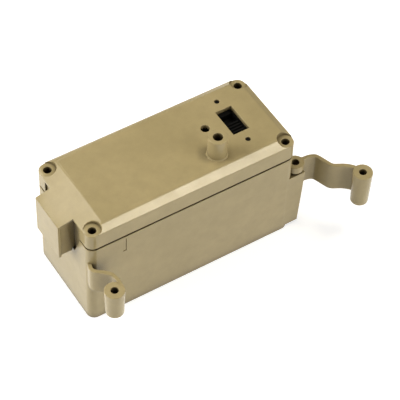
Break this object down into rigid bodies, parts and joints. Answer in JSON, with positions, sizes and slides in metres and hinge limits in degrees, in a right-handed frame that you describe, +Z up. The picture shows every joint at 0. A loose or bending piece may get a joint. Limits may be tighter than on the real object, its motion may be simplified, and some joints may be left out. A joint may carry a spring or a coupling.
{
  "type": "radio box",
  "caption": "Moulded radio box of a radio-controlled car: screwed lid with switch window, aerial post and cable hood, S-shaped mounting arms, battery and receiver inside.",
  "frame": {"origin": "underside of the case, below the middle of the four lid screws", "axes": "+X along the box, from the cable hood towards the switch; +Y across it, away from the mounting arms; +Z up, out of the lid"},
  "size_m": [0.1158, 0.0545, 0.0576],
  "materials": {
    "tan_plastic": "satin moulded nylon",
    "seal_rubber": "matte",
    "black_plastic": "satin",
    "tinned_metal": "tinned",
    "cell_sleeve": "shrink sleeve",
    "fibre_card": "dull",
    "grey_foam": "open foam",
    "receiver_case": "gloss",
    "circuit_board": "lacquered"
  },
  "bodies": {
    "case": {"lower_case": "tan_plastic", "lid_seal": "seal_rubber", "battery_cell_1": "cell_sleeve", "battery_cell_2": "cell_sleeve", "battery_cell_3": "cell_sleeve", "battery_cell_4": "cell_sleeve", "battery_cell_5": "cell_sleeve", "battery_link_1": "tinned_metal", "battery_link_2": "tinned_metal", "battery_link_3": "tinned_metal", "battery_link_4": "tinned_metal", "battery_card_front": "fibre_card", "battery_card_back": "fibre_card", "battery_foam_pad": "grey_foam", "receiver_base": "receiver_case", "receiver_cover": "receiver_case", "receiver_board": "circuit_board", "receiver_header": "black_plastic", "receiver_crystal": "tinned_metal", "receiver_foam_pad": "grey_foam"},
    "lid": {"lid": "tan_plastic", "switch_body": "black_plastic", "switch_terminal_1": "tinned_metal", "switch_terminal_2": "tinned_metal", "switch_terminal_3": "tinned_metal", "switch_terminal_4": "tinned_metal", "switch_terminal_5": "tinned_metal", "switch_terminal_6": "tinned_metal"},
    "switch_knob": {"switch_slider": "black_plastic"}
  },
  "joints": [
    {"name": "lid_lift", "type": "slide", "parent": "case", "child": "lid", "axis": [0, 0, 1], "range_m": [0, 0.04]},
    {"name": "switch_slide", "type": "slide", "parent": "lid", "child": "switch_knob", "axis": [0, 1, 0], "range_m": [0, 0.004]}
  ]
}
